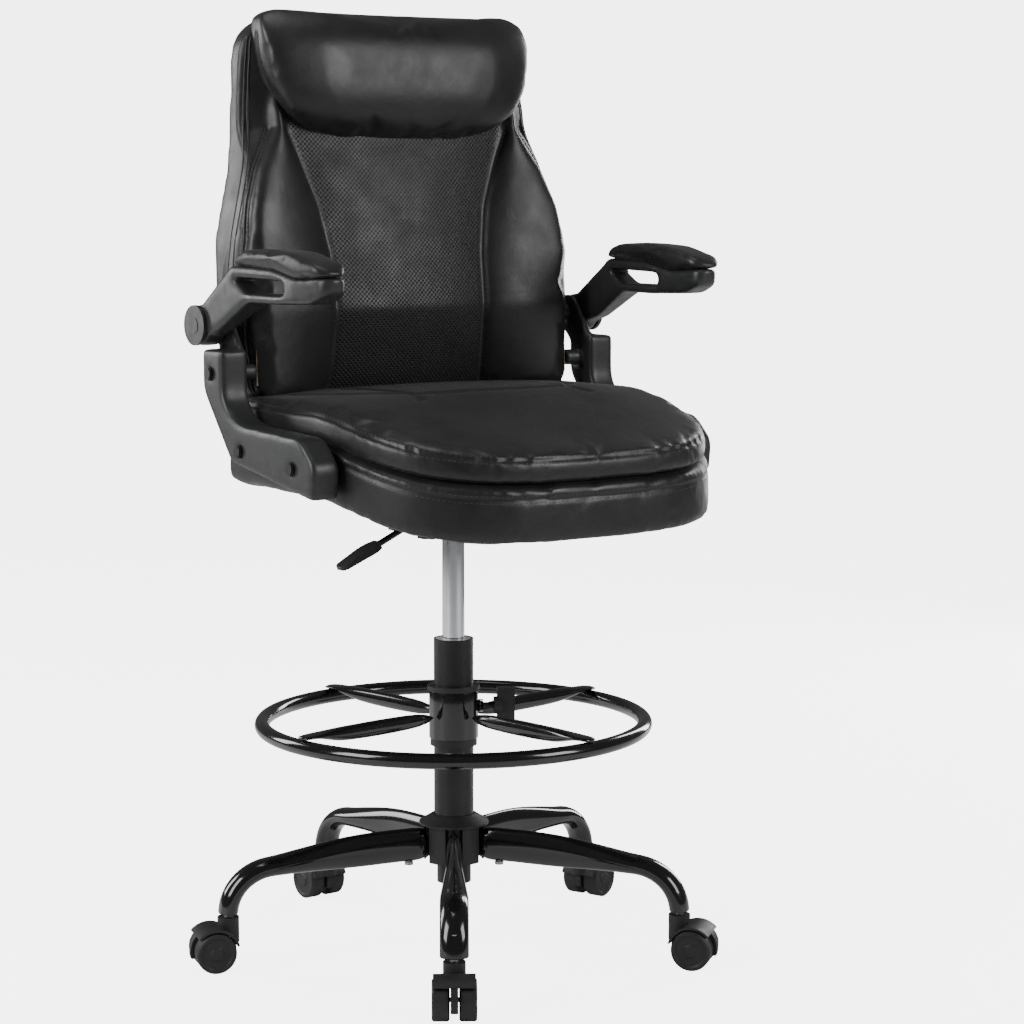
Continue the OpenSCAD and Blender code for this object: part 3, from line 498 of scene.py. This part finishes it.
def stitches(name, piece, lines, offsets, body, along=None):
    """Rows of raised thread on the piece, each beside its line by one of the offsets."""
    bm = bmesh.new()
    tree = surface_of(piece)
    for line in lines:
        laid = laid_on(piece, spaced(line, STITCH_GAP), along)
        for offset in offsets:
            for (spot, up), (after, _) in zip(laid, laid[1:]):
                heading = (after - spot).normalized()
                if not 0.5 * STITCH_GAP < (after - spot).length < 1.6 * STITCH_GAP:
                    continue
                side = heading.cross(up).normalized()
                middle, up = tree.find_nearest((spot + after) / 2 + side * offset)[:2]
                side = heading.cross(up).normalized()
                turn = Matrix((side, heading, side.cross(heading))).transposed().to_4x4()
                size = Matrix.Diagonal((STITCH_RADIUS, STITCH_LENGTH / 2, STITCH_RADIUS, 1))
                bmesh.ops.create_icosphere(bm, subdivisions=1, radius=1,
                                           matrix=Matrix.Translation(middle) @ turn @ size)
    made = object_from(name, bm, THREAD)
    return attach(made, body)


WELT_SINK = 0.4
WELT_STEP = 6 * MM


def welt(name, piece, line, radius, body, along=None):
    """Piping sewn along a line of the piece."""
    laid = laid_on(piece, spaced(line, WELT_STEP), along)
    made = tube(name, evened([spot - up * radius * WELT_SINK for spot, up in laid]), radius, LEATHER)
    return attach(made, body)


def cushion(piece, node, body, finish=LEATHER):
    piece.data.materials.clear()
    piece.data.materials.append(finish)
    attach(piece, body)
    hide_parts(node)


# ---- Seat ----

SEAT_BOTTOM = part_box("seat_plate")[1].z
SEAT_LOW, SEAT_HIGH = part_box("seat_base_cushion")
SEAT_HALF = SEAT_HIGH.x
SEAT_FRONT, SEAT_BACK = SEAT_LOW.y, SEAT_HIGH.y
DROP_START = SEAT_FRONT + 0.240
DROP = SEAT_BOTTOM - SEAT_LOW.z
CROWN = 0.013
CORNER_POWER = 2.95
DOWNWARD = Vector((0, 0, -1))


def seat_outline(inset):
    """The seat from above: a broad rounded front and a square back; the last two corners are the back's."""
    power = 2 / CORNER_POWER
    half, reach = SEAT_HALF - inset, DROP_START - SEAT_FRONT - inset
    front = []
    for index in range(41):
        turn = math.pi * index / 40
        c, s = math.cos(turn), math.sin(turn)
        front.append((-half * math.copysign(abs(c) ** power, c), DROP_START - reach * max(s, 0) ** power))
    return front + [(half, SEAT_BACK - inset), (-half, SEAT_BACK - inset)]


def fall(y):
    t = np.clip((DROP_START - np.asarray(y, float)) / (DROP_START - SEAT_FRONT), 0, 1)
    return DROP * (0.75 * t * t * (3 - 2 * t) + 0.25 * t * t)


def crown(x, y):
    middle, half = (SEAT_FRONT + SEAT_BACK) / 2, (SEAT_BACK - SEAT_FRONT) / 2
    length = np.cos(np.pi / 2 * np.clip((y - middle) / half, -1, 1))
    return CROWN * length * (1 - np.clip(x / SEAT_HALF, -1, 1) ** 2)


def rim(inset, height):
    """A line round the seat at one height above its underside, open at the back."""
    outline = [p for p in seat_outline(inset)[:41]]
    sides = [(-SEAT_HALF + inset, 0.10), (-SEAT_HALF + inset, 0.03)]
    line = sides + outline + [(-x, y) for x, y in reversed(sides)]
    return [Vector((x, y, SEAT_BOTTOM + height - float(fall(y)))) for x, y in line]


def seat_layer(name, low, high, inset, crowned, voxel, rounds, cap):
    piece = slab(name, seat_outline(inset), SEAT_BOTTOM + low, SEAT_BOTTOM + high, "Z",
                 ((41, 0.08), (42, 0.08)))
    remesh(piece, voxel)
    relax(piece, rounds)
    co = points_of(piece)
    share = np.clip((co[:, 2] - SEAT_BOTTOM - low) / (high - low), 0, 1)
    if crowned:
        co[:, 2] += crown(co[:, 0], co[:, 1]) * share
    co[:, 2] -= fall(co[:, 1])
    set_points(piece, co)
    inflate(piece, 4, cap)
    subdivide(piece, 1)
    settle(piece)
    return piece


def make_seat():
    base = seat_layer("seat_lower_cushion", -0.003, 0.0625, -0.007, False, 0.005, 5, 0.004)
    seam = spaced(rim(0.0, 0.050), 2 * MM)
    draw_in(base, [[s for s, _ in laid_on(base, seam)]], 1.6 * MM, 3.2 * MM)
    cushion(base, "seat_base_cushion", "seat")
    stitches("seat_lower_stitching", base, [rim(0.0, 0.050)], (-4.2 * MM, 4.2 * MM), "seat")

    top = seat_layer("seat_upper_cushion", 0.0635, 0.0960, -0.005, True, 0.005, 6, 0.007)
    edge = spaced(rim(0.004, 0.094), 2 * MM)
    panel = seat_panel_lines()
    sewn = [[s for s, _ in laid_on(top, spaced(line, 2 * MM), DOWNWARD)] for line in panel]
    draw_in(top, [[s for s, _ in laid_on(top, edge)]], 1.8 * MM, 3.2 * MM)
    draw_in(top, sewn, 3.2 * MM, 6 * MM)
    mark_panel(top, lambda x, y, z: (np.abs(x) < 0.118) & (y > -0.075) & (z > SEAT_BOTTOM + 0.075))
    cushion(top, "seat_top_cushion", "seat", SEAT_LEATHER)
    stitches("seat_upper_stitching", top, [rim(0.004, 0.094)], (-4.2 * MM, 4.2 * MM), "seat")
    stitches("seat_panel_stitching", top, panel, (-3.0 * MM,), "seat", DOWNWARD)


def seat_panel_lines():
    """The sewn lines of the seat's centre panel and its two darts."""
    def on_top(points):
        return [Vector((x, y, SEAT_BOTTOM + 0.109 - float(fall(y)))) for x, y in points]
    front = on_top([(-0.115, -0.085), (-0.06, -0.093), (0, -0.096), (0.06, -0.093), (0.115, -0.085)])
    lines = [front]
    for side in (-1, 1):
        lines.append(on_top([(side * 0.115, -0.085), (side * 0.165, -0.02), (side * 0.198, 0.05)]))
        lines.append(on_top([(side * 0.115, -0.085), (side * 0.125, -0.112)]))
        lines.append(on_top([(side * 0.115, -0.085), (side * 0.118, 0.0), (side * 0.118, 0.07)]))
    return lines


def mark_panel(piece, inside):
    co = points_of(piece)
    attribute = piece.data.attributes.new("perforated", "FLOAT", "POINT")
    attribute.data.foreach_set("value", inside(co[:, 0], co[:, 1], co[:, 2]).astype(np.float32))


# ---- Back ----

BACK_BOTTOM = 0.7000
SIDE_Z = (0.700, 0.797, 0.900, 0.990, 1.178)
SIDE_HALF = (0.243, 0.2505, 0.2485, 0.227, 0.211)
BACK_FRONT, BACK_REAR = 0.074, 0.166
BACK_LEAN = math.radians(2.5)
LEAN = (Matrix.Translation((0, BACK_FRONT, BACK_BOTTOM)) @ Matrix.Rotation(-BACK_LEAN, 4, "X")
        @ Matrix.Translation((0, -BACK_FRONT, -BACK_BOTTOM)))
BACKWARD = Vector((0, math.cos(BACK_LEAN), -math.sin(BACK_LEAN)))
DEPTH_Z = (0.70, 0.81, 0.88, 0.94, 0.988, 1.038, 1.08)
PANEL_DEPTH = (0.038, 0.017, 0.025, 0.033, 0.038, 0.041, 0.043)
BOLSTER_DEPTH = (0.004, 0.004, 0.006, 0.014, 0.027, 0.044, 0.046)
BULGE = 0.014
PANEL_Z = (0.70, 0.80, 0.88, 0.94, 1.00, 1.03, 1.08)
PANEL_HALF = (0.117, 0.112, 0.115, 0.126, 0.149, 0.163, 0.178)
BOLSTER_Z = (0.70, 0.80, 0.88, 0.94, 0.988, 1.038, 1.08)
BOLSTER_HALF = (0.236, 0.244, 0.243, 0.232, 0.216, 0.187, 0.180)


def panel_half(z):
    return np.interp(z, PANEL_Z, PANEL_HALF)


def bolster_half(z):
    return np.interp(z, BOLSTER_Z, BOLSTER_HALF)


def bow(t):
    return np.sqrt(np.clip(1 - (2 * t - 1) ** 2, 0, 1))


def back_face(x, z):
    """How far the front lies behind the frontmost plane."""
    wide, inner, outer = np.abs(x), panel_half(z), bolster_half(z)
    deep, shallow = np.interp(z, DEPTH_Z, PANEL_DEPTH), np.interp(z, DEPTH_Z, BOLSTER_DEPTH)
    across = np.clip((wide - inner) / np.maximum(outer - inner, 0.01), 0, 1)
    bolster = deep + (shallow - deep) * across - BULGE * bow(across)
    panel = deep - 0.008 * (1 - np.clip(wide / inner, 0, 1) ** 2)
    side = shallow + 0.4 * np.clip(wide - outer, 0, 0.05)
    return np.where(wide < inner, panel, np.where(wide < outer, bolster, side))


def leaned(co):
    turn = np.array(LEAN)
    return co @ turn[:3, :3].T + turn[:3, 3]


def lean_line(points):
    return [LEAN @ Vector(p) for p in points]


def make_back():
    outline = list(zip(SIDE_HALF, SIDE_Z))
    full = outline + [(-x, z) for x, z in reversed(outline)]
    rounding = ((0, 0.016), (4, 0.05), (5, 0.05), (9, 0.016))
    back = slab("backrest_cushion", full, BACK_FRONT, BACK_REAR - 0.002, "Y", rounding)
    remesh(back, 0.005)
    relax(back, 8)
    co = points_of(back)
    share = np.clip((BACK_REAR - co[:, 1]) / (BACK_REAR - BACK_FRONT), 0, 1)
    co[:, 1] += share * back_face(co[:, 0], co[:, 2]) * np.clip((share - 0.15) / 0.6, 0, 1)
    set_points(back, leaned(co))
    relax(back, 2)
    inflate(back, 4, 0.005)
    subdivide(back, 1)
    settle(back)

    lines = []
    for side in (-1, 1):
        heights = np.linspace(BACK_BOTTOM + 0.004, 1.035, 40)
        lines.append(lean_line([(side * float(panel_half(z)), BACK_FRONT, z) for z in heights]))
        lines.append(lean_line([(side * float(bolster_half(z)), BACK_FRONT, z) for z in heights]))
    lines = [evened([s for s, _ in laid_on(back, spaced(line, 2 * MM), BACKWARD)], 8) for line in lines]
    draw_in(back, lines, 3.0 * MM, 4.5 * MM)
    mark_panel(back, lambda x, y, z: (np.abs(x) < panel_half(z) - 0.006) & (y < 0.14) & (z < 1.06))
    cushion(back, "back_cushion", "seat", BACK_LEATHER)
    for index, line in enumerate(lines):
        if index % 2:
            welt("backrest_edge_welt_%d" % index, back, line, 1.7 * MM, "seat", along=BACKWARD)
    stitches("backrest_stitching", back, lines[::2], (-3.6 * MM, 3.6 * MM), "seat", BACKWARD)
    stitches("bolster_stitching", back, lines[1::2], (-4.4 * MM, 4.4 * MM), "seat", BACKWARD)
    side_seams(back)


def side_seams(back):
    """The double welts down each side of the backrest."""
    for side in (-1, 1):
        heights = np.linspace(0.76, 1.15, 30)
        for index, depth in enumerate((0.030, 0.042)):
            line = lean_line([(side * float(np.interp(z, SIDE_Z, SIDE_HALF)), BACK_FRONT + depth, z)
                              for z in heights])
            welt("backrest_side_welt_%s_%d" % ("left" if side > 0 else "right", index), back, line,
                 1.6 * MM, "seat")


PILLOW = ((0.0, 1.0120), (0.085, 1.0165), (0.137, 1.0300), (0.170, 1.0520), (0.192, 1.090), (0.2027, 1.150),
          (0.200, 1.171), (0.180, 1.181), (0.100, 1.184), (0.0, 1.185))
PILLOW_LOW, PILLOW_HIGH = PILLOW[0][1], PILLOW[-1][1]
PILLOW_FRONT, PILLOW_REAR = BACK_FRONT - 0.001, BACK_FRONT + 0.062
PILLOW_HALF = 0.2
PILLOW_ROLL = 0.036
PILLOW_END = 0.014


def make_pillow():
    full = list(PILLOW) + [(-x, z) for x, z in reversed(PILLOW[1:-1])]
    pillow = slab("head_pillow", full, PILLOW_FRONT, PILLOW_REAR, "Y")
    remesh(pillow, 0.005)
    relax(pillow, 6)
    co = points_of(pillow)
    share = np.clip((PILLOW_REAR - co[:, 1]) / (PILLOW_REAR - PILLOW_FRONT), 0, 1)
    up = np.clip((co[:, 2] - PILLOW_LOW) / (PILLOW_HIGH - PILLOW_LOW), 0, 1)
    out = np.clip(np.abs(co[:, 0]) / PILLOW_HALF, 0, 1)
    co[:, 1] += share * (PILLOW_ROLL * np.abs(2 * up - 1) ** 3 + PILLOW_END * out ** 5)
    set_points(pillow, leaned(co))
    relax(pillow, 8)
    inflate(pillow, 4, 0.007)
    subdivide(pillow, 1)
    settle(pillow)
    half = list(PILLOW[1:6])
    seam = lean_line([(x, BACK_FRONT + 0.040, z) for x, z in
                      [(-x, z) for x, z in reversed(half)] + [PILLOW[0]] + half])
    seam = evened([s for s, _ in laid_on(pillow, spaced(seam, 2 * MM))], 8)
    draw_in(pillow, [seam], 2.0 * MM, 3.2 * MM)
    cushion(pillow, "headrest_cushion", "seat")
    welt("head_pillow_welt", pillow, seam, 1.6 * MM, "seat")
    stitches("head_pillow_stitching", pillow, [seam], (-4.6 * MM,), "seat")


# ---- Arms ----

def make_arms():
    grey = FINISHES["grey_plastic"]
    for side in ("right", "left"):
        bracket = softened("arm_bracket_" + side, 0.002, 24, "arm_bracket_shell_" + side, grey)
        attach(bracket, "seat")
        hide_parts("arm_bracket_" + side)
        arm = softened("armrest_" + side, 0.0018, 30, "armrest_shell_" + side, grey)
        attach(arm, "arm_" + side)
        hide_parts("armrest_" + side)
        pad = softened("arm_pad_" + side, 0.0022, 26, "arm_pad_cover_" + side, LEATHER)
        inflate(pad, 3, 0.002)
        cushion(pad, "arm_pad_" + side, "arm_" + side)


# ---- Base and foot ring ----

LEG_ROOT_X = 0.031
LEG_BEND_X = 0.234
LEG_RUN = LEG_BEND_X - LEG_ROOT_X
LEG_TOP_Z = 0.137
LEG_SAG = 0.013
LEG_SWELL_X = 0.1323
BEND_REACH = 0.060
BEND_DROP = 0.055
FOOT_Z = 0.069
BASE_TURN = -34.5 - 90


def tilted(x, z, slope):
    """A station across a leg: local x is its width, local y its height, local z runs along the leg."""
    along = Vector((math.cos(slope), 0, -math.sin(slope)))
    across = Vector((0, 1, 0))
    up = along.cross(across)
    turn = Matrix((across, up, along)).transposed().to_4x4()
    return Matrix.Translation((x, 0, z)) @ turn


def leg_stations():
    stations = []
    for index in range(7):
        x = LEG_ROOT_X + LEG_RUN * index / 7
        grow = max(0.0, (x - LEG_SWELL_X) / (LEG_BEND_X - LEG_SWELL_X))
        z = LEG_TOP_Z - LEG_SAG * ((x - LEG_ROOT_X) / LEG_RUN) ** 2
        slope = math.atan(2 * LEG_SAG * (x - LEG_ROOT_X) / LEG_RUN ** 2)
        stations.append((tilted(x, z, slope), (0.0095 + 0.008 * grow), (0.0215 - 0.009 * grow)))
    for index in range(10):
        turn = math.radians(90 * index / 9)
        out, high = math.sin(turn), math.cos(turn)
        slope = max(math.radians(6), math.atan2(BEND_DROP * out, BEND_REACH * high))
        stations.append((tilted(LEG_BEND_X + BEND_REACH * out, FOOT_Z + BEND_DROP * high, slope),
                         0.0175, 0.0125))
    last = stations[-1]
    stations.insert(-1, (Matrix.Translation((0, 0, 0.0015)) @ last[0], last[1], last[2]))
    return stations


def make_legs():
    for number in range(1, 6):
        bm = bmesh.new()
        swept(leg_stations(), 20, bm)
        turn = Matrix.Rotation(math.radians(BASE_TURN + 72 * (number - 1)), 4, "Z")
        bmesh.ops.transform(bm, matrix=turn, verts=bm.verts)
        leg = object_from("base_leg_tube_%d" % number, bm, FINISHES["gloss_black_steel"])
        subdivide(leg, 2)
        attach(leg, "base")
        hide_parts("base_leg_%d" % number)


SPOKE_TURN = 7.5 - 90
KNOB_TURN = -30.5
COLLAR_OUT = 0.03105
COLLAR_IN = 0.02805
COLLAR_LOW, COLLAR_HIGH = 0.271, 0.332


def make_spider():
    bm = bmesh.new()
    rows = [(0.0291, 0.300, 7.5, 10.5), (0.171, 0.300, 8.0, 10.0), (0.196, 0.3015, 9.5, 8.0),
            (0.221, 0.3040, 12.5, 3.6), (0.2405, 0.3038, 12.5, 2.6), (0.2465, 0.3030, 8.0, 2.2)]
    for number in range(4):
        part = bmesh.new()
        swept([(tilted(x, z, 0), w * MM, h * MM) for x, z, w, h in rows], 20, part)
        turn = Matrix.Rotation(math.radians(SPOKE_TURN + 90 * number), 4, "Z")
        bmesh.ops.transform(part, matrix=turn, verts=part.verts)
        mesh = bpy.data.meshes.new("spoke")
        part.to_mesh(mesh)
        part.free()
        bm.from_mesh(mesh)
        bpy.data.meshes.remove(mesh)
    spokes = object_from("foot_ring_spokes", bm, FINISHES["gloss_black_steel"])
    subdivide(spokes, 2)

    bm = bmesh.new()
    chamfer = 0.8 * MM
    shoulder = COLLAR_OUT - chamfer
    profile = [(COLLAR_IN, COLLAR_LOW), (shoulder, COLLAR_LOW), (COLLAR_OUT, COLLAR_LOW + chamfer),
               (COLLAR_OUT, COLLAR_HIGH - chamfer), (shoulder, COLLAR_HIGH), (COLLAR_IN, COLLAR_HIGH)]
    verts = [bm.verts.new((r, 0, z)) for r, z in profile]
    edges = [bm.edges.new((a, b)) for a, b in zip(verts, verts[1:] + verts[:1])]
    bmesh.ops.spin(bm, geom=verts + edges, cent=(0, 0, 0), axis=(0, 0, 1), angle=math.tau, steps=96,
                   use_merge=True)
    bmesh.ops.remove_doubles(bm, verts=bm.verts, dist=1e-6)
    boss = Matrix.Rotation(math.radians(KNOB_TURN), 4, "Z") @ Matrix.Translation((0.033, 0, 0.311))
    bmesh.ops.create_cone(bm, cap_ends=True, segments=32, radius1=0.008, radius2=0.008, depth=0.008,
                          matrix=boss @ Matrix.Rotation(math.pi / 2, 4, "Y"))
    collar = object_from("foot_ring_collar", bm, FINISHES["gloss_black_steel"])
    crisp = collar.modifiers.new("crisp", "WEIGHTED_NORMAL")
    crisp.keep_sharp = True

    for piece in (spokes, collar):
        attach(piece, "ring")
    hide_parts("foot_ring_spider")


# ---- Tilt spring ----


def make_spring():
    """The tilt spring's coil in plated steel, carried with the lift, with a mesh of its own."""
    bm = bmesh.new()
    bm.from_mesh(nodes["tilt_spring"].data)
    bmesh.ops.remove_doubles(bm, verts=bm.verts, dist=1e-5)
    coil = object_from("tilt_coil_spring", bm)
    coil.data.materials.clear()
    coil.data.materials.append(FINISHES["plated_steel"])
    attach(coil, "lift")
    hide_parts("tilt_spring")
    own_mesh(coil)


# ---- Assembly ----

def make_floor():
    bm = bmesh.new()
    bmesh.ops.create_grid(bm, x_segments=1, y_segments=1, size=12)
    made = Finish("pale_floor", (0.86, 0.86, 0.86), 0.55, Emission_Color=(1, 1, 1, 1))
    made.vary_roughness(3, 0.5, 0.6)
    seen = made.node("ShaderNodeLightPath").outputs["Is Camera Ray"]
    glow = made.maths("MULTIPLY", seen, BACKDROP - 0.86 * WORLD_LIGHT)
    made.tree.links.new(glow, made.shader.inputs["Emission Strength"])
    floor = object_from("floor", bm, made.material)


make_camera()
make_lights()
make_floor()
dress_frame()
make_seat()
make_back()
make_pillow()
make_arms()
make_legs()
make_spider()
make_spring()
